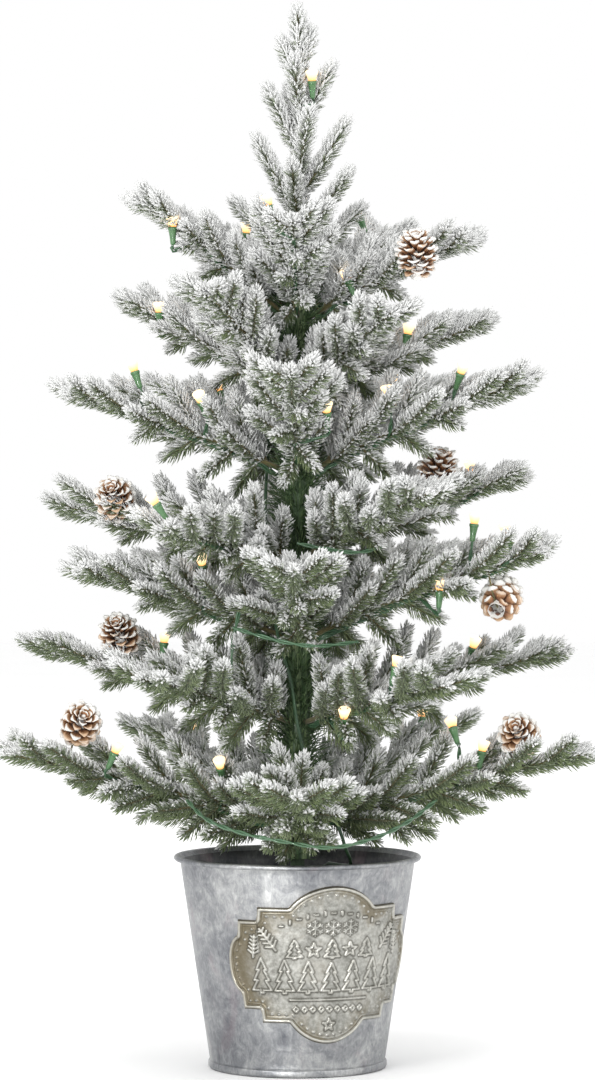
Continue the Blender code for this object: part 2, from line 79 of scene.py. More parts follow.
class Finish:  # one procedural material
    def __init__(self, name):
        self.material = bpy.data.materials.new(name)
        self.material.use_nodes = True
        self.tree = self.material.node_tree
        self.shader = self.tree.nodes["Principled BSDF"]

    def node(self, kind, settings=None, inputs=None, output=0):
        made = self.tree.nodes.new("ShaderNode" + kind)
        for name, value in (settings or {}).items():
            if name == "stops":
                ramp = made.color_ramp
                while len(ramp.elements) < len(value):
                    ramp.elements.new(0.5)
                for stop, (place, colour) in zip(ramp.elements, value):
                    stop.position = place
                    stop.color = (*colour, 1.0)
            else:
                setattr(made, name, value)
        for name, value in (inputs or {}).items():
            if isinstance(value, Wire):
                self.tree.links.new(value.socket, made.inputs[name])
            else:
                made.inputs[name].default_value = value
        return Wire(self, made.outputs[output])

    def set(self, **values):  # the shader's own sockets, with spaces left out of their names
        for name, value in values.items():
            socket = next(s for s in self.shader.inputs if s.name.replace(" ", "") == name)
            if isinstance(value, Wire):
                self.tree.links.new(value.socket, socket)
            else:
                socket.default_value = value

    def at(self, kind="Object"):
        return self.node("TexCoord", output=kind)

    def stretched(self, vector, scale):
        return self.node("VectorMath", {"operation": "MULTIPLY"}, {0: vector, 1: scale})

    def noise(self, scale, detail=4.0, rough=0.55, vector=None, distortion=0.0):
        inputs = {"Scale": scale, "Detail": detail, "Roughness": rough, "Distortion": distortion,
                  "Vector": vector or self.at()}
        return self.node("TexNoise", None, inputs)

    def baked(self):  # the needles' and scales' own map: x along the piece, y its frost or its band
        return self.node("UVMap", {"uv_map": "OFBake"})

    def bakedNoise(self, scale, detail=3.0, rough=0.6):
        return self.noise(1.0, detail, rough, self.stretched(self.baked(), (*scale, 1.0)))

    def part(self, vector, letter):
        return self.node("SeparateXYZ", None, {0: vector}, letter)

    def warped(self, vector, scale, amount):  # pushed about by a noise, so that cells get ragged edges
        drift = self.node("TexNoise", None, {"Scale": scale, "Detail": 3.0, "Vector": vector}, 1)
        inputs = {0: drift, 1: (amount,) * 3, 2: vector}
        return self.node("VectorMath", {"operation": "MULTIPLY_ADD"}, inputs)

    def crystals(self, scale, vector):  # each cell has a tone of its own
        return self.node("TexVoronoi", None, {"Scale": scale, "Vector": vector}, "Color")

    def step(self, value, low, high):  # 0 below low, 1 above high
        inputs = {"Value": value, "From Min": low, "From Max": high}
        return self.node("MapRange", {"interpolation_type": "SMOOTHSTEP"}, inputs)

    def ramp(self, value, *stops):
        return self.node("ValToRGB", {"stops": stops}, {"Fac": value})

    def mix(self, factor, first, second):
        first, second = ((*c, 1.0) if isinstance(c, tuple) else c for c in (first, second))
        return self.node("Mix", {"data_type": "RGBA"}, {0: factor, 6: first, 7: second}, 2)

    def bump(self, height, distance, strength):
        inputs = {"Height": height, "Distance": distance, "Strength": strength}
        self.set(Normal=self.node("Bump", None, inputs))


def newPiece(name, vertices, faces, finishes, body, smooth=True, slots=None, uv=None):
    mesh = bpy.data.meshes.new(name)
    vertices = np.asarray(vertices, np.float32)
    if isinstance(faces, np.ndarray):
        side = faces.shape[1]
        mesh.vertices.add(len(vertices))
        mesh.vertices.foreach_set("co", vertices.ravel())
        mesh.loops.add(faces.size)
        mesh.loops.foreach_set("vertex_index", faces.astype(np.int32).ravel())
        mesh.polygons.add(len(faces))
        mesh.polygons.foreach_set("loop_start", np.arange(0, faces.size, side, dtype=np.int32))
        mesh.update(calc_edges=True)
    else:
        mesh.from_pydata([tuple(v) for v in vertices.tolist()], [], faces)
    if uv is not None:
        layer = mesh.uv_layers.new(name="OFBake")
        layer.data.foreach_set("uv", np.asarray(uv, np.float32).ravel())
    if slots is not None:
        mesh.polygons.foreach_set("material_index", np.asarray(slots, np.int32))
    mesh.polygons.foreach_set("use_smooth", np.full(len(mesh.polygons), smooth))
    piece = bpy.data.objects.new(name, mesh)
    bpy.context.scene.collection.objects.link(piece)
    for finish in finishes:
        mesh.materials.append(finish.material)
    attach(piece, body)
    return piece


# camera, floor and lights
studio = {
    "distance": 2.5, "eyeHeight": 0.345, "aimHeight": 0.302, "seenHeight": 0.619, "sensor": 36.0,
    "farthest": 20, "floorTone": 0.97, "floorDrift": 1.02, "floorHalf": 6, "floorDrop": 0.0004,
    "skyTone": 1.0, "lampAim": 0.3,
}
studioLamps = {  # place, size, power
    "key": ((-1.2, -1.9, 1.2), 0.8, 17), "fill": ((1.7, -1.6, 0.8), 1.3, 8),
    "strip": ((-0.62, -1.9, 0.05), 0.25, 16), "back": ((0.6, 1.9, 1.9), 1.4, 9),
    "top": ((0.0, -0.5, 2.4), 1.2, 15),
}


def turnedTo(place, aim):
    return (Vector(aim) - Vector(place)).to_track_quat("-Z", "Y").to_euler()


def makeCamera():
    lens = bpy.data.cameras.new("camera")
    lens.sensor_width = studio["sensor"]
    lens.lens = studio["sensor"] * studio["distance"] / studio["seenHeight"]
    lens.clip_end = studio["farthest"]
    camera = bpy.data.objects.new("camera", lens)
    bpy.context.scene.collection.objects.link(camera)
    camera.location = (0, -studio["distance"], studio["eyeHeight"])
    camera.rotation_euler = turnedTo(camera.location, (0, 0, studio["aimHeight"]))
    bpy.context.scene.camera = camera


def makeFloor():
    plane = bmesh.new()
    bmesh.ops.create_grid(plane, x_segments=8, y_segments=8, size=studio["floorHalf"])
    mesh = bpy.data.meshes.new("floor")
    plane.to_mesh(mesh)
    plane.free()
    floor = bpy.data.objects.new("floor", mesh)
    floor.location = (0, 0, -studio["floorDrop"])
    bpy.context.scene.collection.objects.link(floor)
    paint = Finish("paleFloor")
    tone = studio["floorTone"]
    shades = ((0.3, (tone,) * 3), (0.7, (tone * studio["floorDrift"],) * 3))
    paint.set(BaseColor=paint.ramp(paint.noise(3.0), *shades), Roughness=0.9)
    mesh.materials.append(paint.material)


def makeLights():
    sky = bpy.data.worlds.new("studio")
    sky.use_nodes = True
    sky.node_tree.nodes["Background"].inputs["Color"].default_value = (studio["skyTone"],) * 3 + (1.0,)
    bpy.context.scene.world = sky
    bpy.context.scene.view_settings.view_transform = "Standard"
    for name, (place, size, power) in studioLamps.items():
        light = bpy.data.lights.new(name, "AREA")
        light.size = size
        light.energy = power
        holder = bpy.data.objects.new(name, light)
        holder.location = place
        holder.rotation_euler = turnedTo(place, (0, 0, studio["lampAim"]))
        bpy.context.scene.collection.objects.link(holder)


makeCamera()
makeFloor()
makeLights()
print("studio made")


# needled twigs
fir = {
    "needleLength": 0.0082, "needleHalfWidth": 0.00036, "flockHalfWidth": 0.00030, "perMetre": 5400,
    "sweep": 54, "tipSweep": 26, "closing": 0.008, "lengthSpread": 0.08, "leanSpread": 0.07, "thin": 1.0,
    "density": 1.0, "frost": 0.35, "topFrost": 0.50, "tipFrost": 0.42, "frostSpread": 0.15,
    "grainFrost": 0.36, "grainRadius": 0.00080, "grainShare": 0.95, "goldenAngle": 2.39996,
    "stemRadius": 0.0010, "branchRadius": 0.0016, "bareStem": 0.0130, "tipInset": 0.0054,
    "bendShare": 0.45, "bendRise": 0.62, "twigLength": 0.050, "twigReach": 0.150, "twigAngle": 38,
    "twigLift": 0.17, "riserLift": 0.06, "skirtBelow": 0.15, "frostPerMetre": 1.5, "frostLevel": 0.26,
    "frostOffset": 0.04, "frostBand": 0.76, "frostStart": 0.02, "seed": 11,
}
random = np.random.default_rng(fir["seed"])


def unit(vectors):
    return vectors / np.maximum(np.linalg.norm(vectors, axis=-1, keepdims=True), 1e-12)


def bezierPath(start, bend, end, steps=40):
    t = np.linspace(0, 1, steps)[:, None]
    return start * (1 - t) ** 2 + bend * (2 * t * (1 - t)) + end * t ** 2


def sampled(path, places):  # points, tangents and shares at distances along a path
    gaps = np.linalg.norm(np.diff(path, axis=0), axis=1)
    lengths = np.concatenate([[0], np.cumsum(gaps)])
    points = np.stack([np.interp(places, lengths, column) for column in path.T], 1)
    slopes = np.gradient(path, axis=0)
    tangents = unit(np.stack([np.interp(places, lengths, column) for column in slopes.T], 1))
    return points, tangents, places / lengths[-1]


def pathLength(path):
    return np.linalg.norm(np.diff(path, axis=0), axis=1).sum()


class Growth:  # gathers needles, grains and stems as triangles, then makes one piece of them
    def __init__(self):
        self.points, self.faces, self.uvs, self.count = [], [], [], 0

    def add(self, points, faces, uv):  # points (n, k, 3), faces (m, 3) into k, uv (n, k, 2)
        n, k = points.shape[:2]
        offsets = self.count + np.arange(n)[:, None, None] * k
        self.points.append(points.reshape(-1, 3))
        self.faces.append((faces[None] + offsets).reshape(-1, 3))
        self.uvs.append(np.clip(uv[:, faces.ravel()].reshape(-1, 2), 0.002, 0.998))
        self.count += n * k

    def piece(self, name, finish, body, slot, smooth=True):
        points, faces = np.concatenate(self.points), np.concatenate(self.faces)
        return newPiece(name, points, faces, [finish], body, smooth, uv=np.concatenate(self.uvs))


def tubeFaces(rings, sides, closed=True):
    faces = []
    for ring in range(rings - 1):
        for side in range(sides):
            a, b = ring * sides + side, ring * sides + (side + 1) % sides
            faces += [(a, b, b + sides), (a, b + sides, a + sides)]
    tip = rings * sides
    if closed:
        last = tip - sides
        faces += [(last + side, last + (side + 1) % sides, tip) for side in range(sides)]
    return np.array(faces)


needleFaces = tubeFaces(2, 3)
grainFaces = np.array([(0, 2, 4), (2, 1, 4), (1, 3, 4), (3, 0, 4),
                       (2, 0, 5), (1, 2, 5), (3, 1, 5), (0, 3, 5)])
grainSpikes = np.array([(1, 0, 0), (-1, 0, 0), (0, 1, 0), (0, -1, 0), (0, 0, 1), (0, 0, -1)], float)


def growNeedles(growth, path, frostBias=0.0, start=0.0, **changes):
    style = {**fir, **changes}
    total = pathLength(path)
    count = max(8, int((total - start) * style["perMetre"] * style["density"]))
    places = start + (total - start) * (np.arange(count) + random.random(count)) / count
    points, along, share = sampled(path, places)
    up = unit(np.array([0, 0, 1.0]) - along * along[:, 2:3] + 1e-6)
    aside = np.cross(along, up)
    angle = np.arange(count) * style["goldenAngle"] + random.normal(0, 0.25, count)
    radial = aside * np.cos(angle)[:, None] + up * np.sin(angle)[:, None]
    closing = np.clip((places - (total - style["closing"])) / style["closing"], 0, 1)
    lean = np.radians(style["sweep"] * (1 - 0.16 * share) * (1 - closing) + style["tipSweep"] * closing)
    lean = lean + random.normal(0, style["leanSpread"], count)
    direction = along * np.cos(lean)[:, None] + radial * np.sin(lean)[:, None]
    reach = style["needleLength"] * (1 - 0.26 * closing) * (0.70 + 0.30 * np.clip(share * 7, 0, 1))
    reach = reach * random.normal(1, style["lengthSpread"], count).clip(0.6, 1.35)
    across = unit(np.cross(along, direction) + 1e-9)
    normal = np.cross(direction, across)
    facing = direction[:, 2] * 0.55 + radial[:, 2] * 0.45
    frost = style["frost"] + style["topFrost"] * facing + style["tipFrost"] * closing + frostBias
    frost = (frost + random.normal(0, style["frostSpread"], count)).clip(0.0, 1.0)
    band = style["frostStart"] + style["frostBand"] * frost
    rings, uvs = [], []
    for place, width in ((0.0, 0.8), (0.80, 1.0)):
        flocked = style["flockHalfWidth"] * frost * (0.3 + place)
        fat = style["thin"] * (style["needleHalfWidth"] * width + flocked)
        middle = points + (direction + along * (0.10 * place ** 2)) * (reach * place)[:, None]
        for corner in np.radians([90, 210, 330]):
            fatness = fat * random.normal(1, 0.12, count)
            ray = across * math.cos(corner) * 1.15 + normal * math.sin(corner) * 0.8
            rings.append(middle + ray * fatness[:, None])
            uvs.append(np.stack([np.full(count, place), band + 0.012 * math.cos(corner)], 1))
    rings.append(points + (direction + along * 0.12) * reach[:, None])
    uvs.append(np.stack([np.ones(count), band], 1))
    growth.add(np.stack(rings, 1), needleFaces, np.stack(uvs, 1))

    chosen = (frost > style["grainFrost"]) & (random.random(count) < style["grainShare"] * (0.4 + frost))
    number = int(chosen.sum())
    if number == 0:
        return
    spots = (points + direction * (reach * random.uniform(0.45, 0.86, count))[:, None])[chosen]
    spots = spots + random.normal(0, 0.0003, (number, 3))
    radius = style["grainRadius"] * random.uniform(0.55, 1.25, (number, 6))
    grains = spots[:, None, :] + grainSpikes[None] * radius[..., None]
    shade = np.stack([random.uniform(0.7, 1.0, (number, 6)), random.uniform(0.70, 0.78, (number, 6))], 2)
    growth.add(grains, grainFaces, shade)


def growStem(growth, path, radius, taper=0.5, rings=12, sides=6):
    total = pathLength(path)
    places = np.linspace(0, total, rings)
    points, along, share = sampled(path, places)
    leaning = np.array([0.02, 0.01, 1.0])  # near upright, but never along an upright stem
    up = unit(leaning - along * (along @ leaning)[:, None])
    aside = np.cross(along, up)
    rows, uvs = [], []
    for side in range(sides):
        angle = 2 * math.pi * side / sides
        offset = aside * math.cos(angle) + up * math.sin(angle)
        rows.append(points + offset * (radius * (1 - (1 - taper) * share))[:, None])
        uvs.append(np.stack([share, np.full(rings, 0.87 + 0.08 * side / sides)], 1))
    body = np.stack(rows, 1).reshape(1, -1, 3)
    uv = np.stack(uvs, 1).reshape(1, -1, 2)
    tip = (points[-1] + along[-1] * radius * 0.5).reshape(1, 1, 3)
    body = np.concatenate([body, tip], 1)
    uv = np.concatenate([uv, np.array([[[1.0, 0.9]]])], 1)
    growth.add(body, tubeFaces(rings, sides), uv)


def growTwig(growth, start, direction, length, lift, frostBias):
    direction = unit(np.asarray(direction, float))
    sway = random.normal(0, 0.05, 3)
    bend = start + direction * length * 0.5 + sway * length * 0.5
    end = start + (direction + np.array([0, 0, lift])) * length
    path = bezierPath(start, bend, end, 18)
    growStem(growth, path, fir["stemRadius"], 0.6, 6, 5)
    growNeedles(growth, path, frostBias, start=0.003)


# share of the stem, side, tilt out of the branch's plane in degrees, part of the twig length
sideTwigs = ((0.12, 1, 10, 0.72), (0.15, -1, 14, 0.72), (0.23, 1, 26, 0.86), (0.29, -1, -16, 0.96),
             (0.40, 1, 4, 1.0), (0.46, -1, 8, 1.0), (0.54, 1, -24, 0.70), (0.59, -1, 28, 0.66),
             (0.68, 1, 6, 0.88), (0.74, -1, 2, 0.84), (0.85, 1, 10, 0.54), (0.89, -1, -6, 0.48))
# share of the stem, slope from the stem in degrees, sideways part, part of the twig length
risers = ((0.08, 66, -0.45, 0.60), (0.15, 60, 0.45, 0.74), (0.26, 52, -0.32, 0.84), (0.40, 50, 0.34, 0.70),
          (0.58, 42, -0.28, 0.52))
droopers = ((0.12, -56, -0.35, 0.50), (0.24, -50, 0.34, 0.58), (0.40, -44, -0.34, 0.50),
            (0.58, -38, 0.30, 0.38))
# more of them on the lowest tier, which hides the bucket's rim
skirt = ((0.08, -30, -1.1, 0.86), (0.12, -34, 1.1, 0.86), (0.20, -34, -0.8, 0.84), (0.27, -36, 0.8, 0.82),
         (0.36, -32, -0.7, 0.76), (0.44, -34, 0.7, 0.72), (0.54, -30, -0.5, 0.60), (0.63, -28, 0.5, 0.52))


def branchShape(joint):  # the stem's own frame, taken from the CAD branch
    root = np.array(joint["pos_m"])
    axis = np.array(joint["axis"])
    out = unit(np.array([-axis[1], axis[0], 0.0]))
    left = np.array([-out[1], out[0], 0.0])
    mesh = frame["nodes"][joint["child"]].data
    corners = np.zeros(len(mesh.vertices) * 3, np.float32)
    mesh.vertices.foreach_get("co", corners)
    corners = corners.reshape(-1, 3) - root
    along, aside = corners @ out, corners @ left
    reach = along.max()
    rise = corners[along > reach - 0.001, 2].mean()
    leftFirst = along[aside.argmax()] < along[aside.argmin()]
    return root, out, left, reach, rise, 1 if leftFirst else -1


def branchStem(joint):
    root, out, _, reach, rise, _ = branchShape(joint)
    up = np.array([0, 0, 1.0])
    end = root + out * (reach - fir["tipInset"]) + up * rise
    return bezierPath(root, root + out * reach * fir["bendShare"] + up * rise * fir["bendRise"], end, 60)


def makeBranch(joint, finish):
    root, out, left, reach, _, flip = branchShape(joint)
    up = np.array([0, 0, 1.0])
    height = root[2]
    stem = branchStem(joint)
    growth = Growth()
    growStem(growth, stem, fir["branchRadius"], 0.5, 24, 7)
    bias = fir["frostPerMetre"] * (height - fir["frostLevel"]) + fir["frostOffset"]
    growNeedles(growth, stem, bias, start=fir["bareStem"])
    size = fir["twigLength"] * max(0.72, min(1.0, (reach + root[:2] @ out[:2]) / fir["twigReach"]))
    total = pathLength(stem)
    for share, side, tilt, part in sideTwigs:
        point, along, _ = sampled(stem, np.array([share * total]))
        turn = math.radians(fir["twigAngle"] + random.normal(0, 4))
        over = math.radians(tilt + random.normal(0, 6))
        aside = left * side * flip * math.cos(over) + up * math.sin(over)
        direction = along[0] * math.cos(turn) + aside * math.sin(turn)
        growTwig(growth, point[0], direction, size * part * random.normal(1, 0.05), fir["twigLift"], bias)
    hanging = droopers + (skirt if height < fir["skirtBelow"] else ())
    for share, slope, lean, part in risers + hanging:
        point, along, _ = sampled(stem, np.array([share * total]))
        sideways = left * flip * (lean + random.normal(0, 0.12))
        tilt = math.radians(slope + random.normal(0, 5))
        upright = np.array([0, 0, math.copysign(1.0, slope)])
        direction = along[0] * math.cos(tilt) + unit(upright + sideways) * abs(math.sin(tilt))
        shade = bias + (0.05 if slope > 0 else -0.22)
        growTwig(growth, point[0], direction, size * part, fir["riserLift"], shade)
    piece = growth.piece("foliage_" + joint["child"], finish, joint["child"], "flocked_needles")
    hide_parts(joint["child"])


# share of the stem, heading in degrees, slope above level, length
leaderSpray = (
    (0.01, 292, 34, 0.050), (0.02, 236, 44, 0.052), (0.04, 20, 40, 0.050), (0.05, 165, 42, 0.050),
    (0.08, 95, 46, 0.046), (0.11, 328, 50, 0.052), (0.16, 262, 52, 0.046), (0.22, 205, 58, 0.050),
    (0.27, 90, 54, 0.042), (0.30, 345, 56, 0.048), (0.36, 285, 60, 0.042), (0.46, 192, 62, 0.040),
    (0.52, 110, 60, 0.034), (0.56, 12, 62, 0.038), (0.62, 255, 66, 0.030), (0.72, 160, 66, 0.026),
    (0.78, 40, 68, 0.022),
)


def jointOf(body):
    return next(joint for joint in frame["joints"] if joint["child"] == body)


def makeLeader(finish):
    base = np.array(jointOf("leader")["pos_m"])
    top = np.array([base[0], base[1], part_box("top_leader")[1].z - fir["tipInset"]])
    middle = (base + top) / 2 + np.array([0.003, -0.001, 0])
    stem = bezierPath(base, middle, top, 60)
    growth = Growth()
    growStem(growth, stem, fir["branchRadius"], 0.5, 20, 7)
    growNeedles(growth, stem, 0.08, start=0.004, density=1.1)
    total = pathLength(stem)
    for share, heading, slope, length in leaderSpray:
        point, _, _ = sampled(stem, np.array([share * total]))
        turn, lean = math.radians(heading), math.radians(slope)
        direction = (math.cos(turn) * math.cos(lean), math.sin(turn) * math.cos(lean), math.sin(lean))
        growTwig(growth, point[0], direction, length, 0.04, 0.12)
    piece = growth.piece("foliageLeader", finish, "leader", "flocked_needles")
    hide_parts("top_leader")


def firFinish():
    finish = Finish("flockedFir")
    lengthwise, band = finish.part(finish.baked(), "X"), finish.part(finish.baked(), "Y")
    frost = band * (1 / fir["frostBand"]) - 0.026
    grain = finish.bakedNoise((16.0, 70.0))
    drift = finish.bakedNoise((2.0, 190.0), 2.0, 0.5)
    needle = finish.ramp(drift, (0.25, (0.042, 0.068, 0.026)), (0.46, (0.090, 0.135, 0.050)),
                         (0.64, (0.215, 0.270, 0.095)), (0.85, (0.060, 0.105, 0.058)))
    # needles darkened towards their bases by the stem: painted shade
    needle = finish.mix(finish.step(lengthwise, 0.35, 0.0) * 0.6, needle, (0.032, 0.044, 0.018))
    flock = finish.ramp(grain, (0.25, (0.49, 0.50, 0.49)), (0.5, (0.74, 0.745, 0.735)),
                        (0.75, (0.88, 0.88, 0.87)))
    cover = finish.step(frost + lengthwise * 0.66 + grain * 0.8 - 0.90, 0.14, 0.58)
    coat = finish.mix(cover, needle, flock)
    bark = finish.ramp(finish.bakedNoise((24.0, 40.0)), (0.3, (0.050, 0.060, 0.022)),
                       (0.6, (0.16, 0.13, 0.045)), (0.8, (0.30, 0.20, 0.075)))
    wood = finish.step(band, 0.82, 0.84)
    finish.set(BaseColor=finish.mix(wood, coat, bark), Roughness=0.62 + cover * 0.3)
    finish.shader.inputs["Sheen Weight"].default_value = 0.25
    finish.shader.inputs["Sheen Roughness"].default_value = 0.6
    finish.bump(grain, 0.0004, 0.7)
    return finish


firCoat = firFinish()
for joint in frame["joints"]:
    if joint["name"].startswith("branch"):
        makeBranch(joint, firCoat)
makeLeader(firCoat)
print("foliage grown")


# trunk wound with thin tinsel
tinsel = {"needleLength": 0.0190, "perMetre": 15000, "sweep": 66, "thin": 1.15, "flockHalfWidth": 0.0,
          "grainShare": 0.0, "lengthSpread": 0.26, "leanSpread": 0.42}
tinselCore = 0.0075


def tinselFinish():
    finish = Finish("greenTinsel")
    drift = finish.bakedNoise((3.0, 160.0), 2.0, 0.5)
    finish.set(BaseColor=finish.ramp(drift, (0.25, (0.012, 0.030, 0.012)), (0.50, (0.050, 0.100, 0.036)),
                                     (0.72, (0.260, 0.350, 0.160))), Roughness=0.34 + drift * 0.3)
    return finish


def makeTrunk():
    low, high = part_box("trunk_garland")
    growth = Growth()
    bottom = np.array([0, 0, low.z - 0.004])
    path = bezierPath(bottom, np.array([0.0004, 0, (low.z + high.z) / 2]), np.array([0, 0, high.z]), 60)
    growStem(growth, path, tinselCore, 0.95, 60, 16)
    growNeedles(growth, path, **tinsel)
    piece = growth.piece("trunkTinsel", tinselFinish(), "bucket_and_trunk", "green_tinsel")
    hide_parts("trunk_garland")


makeTrunk()
print("trunk wound")


# bucket
bucket = {
    "steps": 168, "sheet": 0.0006, "dent": 0.00022, "seamWidth": 0.0035, "seamRise": 0.00035,
    "beadRadius": 0.0011, "footInner": 0.0028, "wallLow": 0.0046, "baseTop": 0.0012,
}


def cadRadius(node, low, high):
    corners = np.array([v.co for v in frame["nodes"][node].data.vertices])
    chosen = corners[(corners[:, 2] > low) & (corners[:, 2] < high)]
    return float(np.hypot(chosen[:, 0], chosen[:, 1]).max())


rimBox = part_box("bucket_shell")
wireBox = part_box("rim_wire")
footRadius = cadRadius("bucket_shell", -0.001, 0.0042)
wallFoot = cadRadius("bucket_shell", 0.0043, 0.0060)
curlOuter = (rimBox[1].z - wireBox[1].z) + (wireBox[1].z - wireBox[0].z) / 2
curlCentre = (rimBox[1].x - curlOuter, rimBox[1].z - curlOuter)
wallTopHeight = rimBox[1].z - 2 * curlOuter
wallTop = rimBox[1].x - 2 * curlOuter - bucket["sheet"]
wallLow = bucket["wallLow"]


def wallRadius(height):
    share = (height - wallLow) / (wallTopHeight - wallLow)
    return wallFoot + (wallTop - wallFoot) * share


def zincFinish(name, aged=1.0, paintedLightShare=1.0):
    finish = Finish(name)
    place = finish.at()
    cloud = finish.noise(19.0, 5.0, 0.6, place, 1.2)
    mottle = finish.noise(95.0, 6.0, 0.66, place, 1.9)
    spangle = finish.noise(240.0, 4.0, 0.6, finish.stretched(place, (1.0, 1.0, 0.55)), 2.6)
    streak = finish.noise(1.0, 4.0, 0.6, finish.stretched(place, (900.0, 900.0, 60.0)))
    blush = finish.noise(42.0, 3.0, 0.6, finish.stretched(place, (1.0, 1.0, 0.7)), 0.8)
    blush = finish.step(blush, 0.56, 0.72)
    crystals = finish.crystals(170.0, finish.warped(place, 90.0, 0.012))
    tone = cloud * 0.50 + mottle * 0.28 + spangle * 0.16 + streak * 0.08 + (crystals - 0.5) * 0.055
    shades = ((0.38, (0.130, 0.135, 0.150)), (0.47, (0.225, 0.232, 0.245)), (0.55, (0.340, 0.346, 0.352)),
              (0.66, (0.560, 0.564, 0.560)))
    # paintedLightShare below 1 darkens the whole zinc colour: painted shade, for the bucket's inside
    zinc = finish.ramp(tone, *((stop, tuple(part * paintedLightShare for part in shade)) for stop, shade in shades))
    finish.set(BaseColor=finish.mix(blush * 0.25 * aged, zinc, (0.30, 0.23, 0.25)), Metallic=0.92,
               Roughness=0.25 + mottle * 0.24 + crystals * 0.10 - finish.step(spangle, 0.5, 0.7) * 0.08)
    finish.bump(mottle * 0.5 + spangle * 0.3 + streak * 0.2, 0.0006, 0.55)
    return finish


def turnedPiece(name, outline, steps, finishes, insideFrom, body, shape=None):
    turn = np.linspace(0, 2 * math.pi, steps, endpoint=False)
    rows = np.array(outline)
    radius = np.repeat(rows[:, 0][:, None], steps, 1)
    height = np.repeat(rows[:, 1][:, None], steps, 1)
    if shape is not None:
        radius = radius + shape(turn[None, :], height)
    points = np.stack([radius * np.cos(turn), radius * np.sin(turn), height], 2).reshape(-1, 3)
    faces = []
    for row in range(len(rows)):
        after = (row + 1) % len(rows)
        a = row * steps + np.arange(steps)
        b = row * steps + (np.arange(steps) + 1) % steps
        c = after * steps + (np.arange(steps) + 1) % steps
        d = after * steps + np.arange(steps)
        faces.append(np.stack([a, b, c, d], 1))
    inside = np.repeat(np.arange(len(rows)) >= insideFrom, steps)
    return newPiece(name, points, np.concatenate(faces), finishes, body, slots=inside)


def arc(centre, radius, start, sweep, steps):
    angles = np.radians(start) + np.radians(sweep) * np.linspace(0, 1, steps + 1)
    return [(centre[0] + radius * math.cos(a), centre[1] + radius * math.sin(a)) for a in angles]


def bucketShape(turn, height):  # a hand-sized dent or two, and the lapped seam at the back
    up = (height / rimBox[1].z).clip(0, 1)
    sway = np.sin(2 * turn + 0.6) * 0.6 + np.sin(5 * turn + 3 * up) * 0.25 + np.sin(9 * turn - 5 * up) * 0.15
    seam = np.exp(-((turn - math.pi / 2) * wallTop / bucket["seamWidth"]) ** 4)
    return bucket["dent"] * sway * up * (1.15 - up) * 2.0 + bucket["seamRise"] * seam * (height > wallLow)


def makeBucket():
    # the inside wall and floor get a darker copy of the same zinc: painted shade
    zinc, shadedZinc = zincFinish("galvanisedZinc"), zincFinish("zincInsidePaintedShade", 1.6, 0.42)
    sheet, bead, inner = bucket["sheet"], bucket["beadRadius"], footRadius - bucket["footInner"]
    outline = [(inner, 0.0), (footRadius - 0.0006, 0.0)]
    outline += arc((footRadius - bead, 0.0013), bead, -60, 60, 3)
    outline += arc((footRadius - bead, 0.0031), bead, 0, 90, 4)
    outline += [(wallFoot + 0.0001, 0.0044)]
    outline += [(wallRadius(height), height) for height in np.linspace(0.0050, wallTopHeight - 0.0006, 44)]
    outline += arc(curlCentre, curlOuter - sheet, 180, -300, 18)
    outline += arc(curlCentre, curlOuter, -120, 300, 20)
    insideFrom = len(outline)
    outline += [(wallRadius(height) - sheet, height) for height in np.linspace(wallTopHeight, 0.0050, 20)]
    outline += [(wallRadius(wallLow) - sheet, bucket["baseTop"]), (inner, bucket["baseTop"])]
    shell = turnedPiece("bucketWall", outline, bucket["steps"], [zinc, shadedZinc], insideFrom, "bucket_and_trunk",
                        bucketShape)
    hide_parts("bucket_shell")


makeBucket()
print("bucket turned")


# embossed plaque
plaque = {
    "lobeHalfWidth": 0.0237, "shoulderHeight": 0.0330, "shoulderEnd": 0.0403, "cornerHeight": 0.0255,
    "cornerEnd": 0.0520, "sideLobeHeight": 0.0165, "stepRun": 0.0008, "columns": 320, "rows": 224,
    "stand": 0.0007, "border": 0.0014, "borderHalf": 0.0010, "borderRise": 0.0011, "innerLine": 0.0034,
    "innerRise": 0.00030, "innerHalf": 0.00035, "beadInset": 0.0051, "beadPitch": 0.0036,
    "beadRadius": 0.00090, "beadRise": 0.0007, "strokeHalf": 0.00070, "strokeRise": 0.0009,
    "ringWidth": 0.0007, "edgeFall": 0.0006, "tarnishReach": 0.006,
}
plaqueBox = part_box("plaque")
plaqueMiddle = (plaqueBox[0].z + plaqueBox[1].z) / 2
plaqueHalfHeight = (plaqueBox[1].z - plaqueBox[0].z) / 2
plaqueCorners = np.array([v.co for v in frame["nodes"]["plaque"].data.vertices])
plaqueAngles = np.arctan2(plaqueCorners[:, 1], plaqueCorners[:, 0])
plaqueTurn = (plaqueAngles.min() + plaqueAngles.max()) / 2
plaqueHalfWidth = (plaqueAngles.max() - plaqueAngles.min()) / 2 * wallRadius(plaqueMiddle)


def plaqueEdge(across):  # half the plaque's height at distances from its middle
    across = np.abs(across)
    lobe, shoulder, run = plaque["lobeHalfWidth"], plaque["shoulderHeight"], plaque["stepRun"]
    rise = plaqueHalfHeight - shoulder
    bow = (lobe ** 2 + rise ** 2) / (2 * rise)
    lobeTop = plaqueHalfHeight - bow + np.sqrt(np.maximum(bow ** 2 - across ** 2, 0))
    shoulderEnd, cornerEnd, corner = plaque["shoulderEnd"], plaque["cornerEnd"], plaque["cornerHeight"]
    corners = (lobe, shoulderEnd, shoulderEnd + run, cornerEnd, cornerEnd + run)
    heights = (shoulder, shoulder, corner, corner, plaque["sideLobeHeight"])
    stepped = np.interp(across, corners, heights)
    share = (across - cornerEnd) / (plaqueHalfWidth - cornerEnd)
    sideTop = plaque["sideLobeHeight"] * np.sqrt(np.maximum(1 - share ** 2, 0))
    return np.where(across <= lobe, lobeTop, np.where(across <= corners[-1], stepped, sideTop))


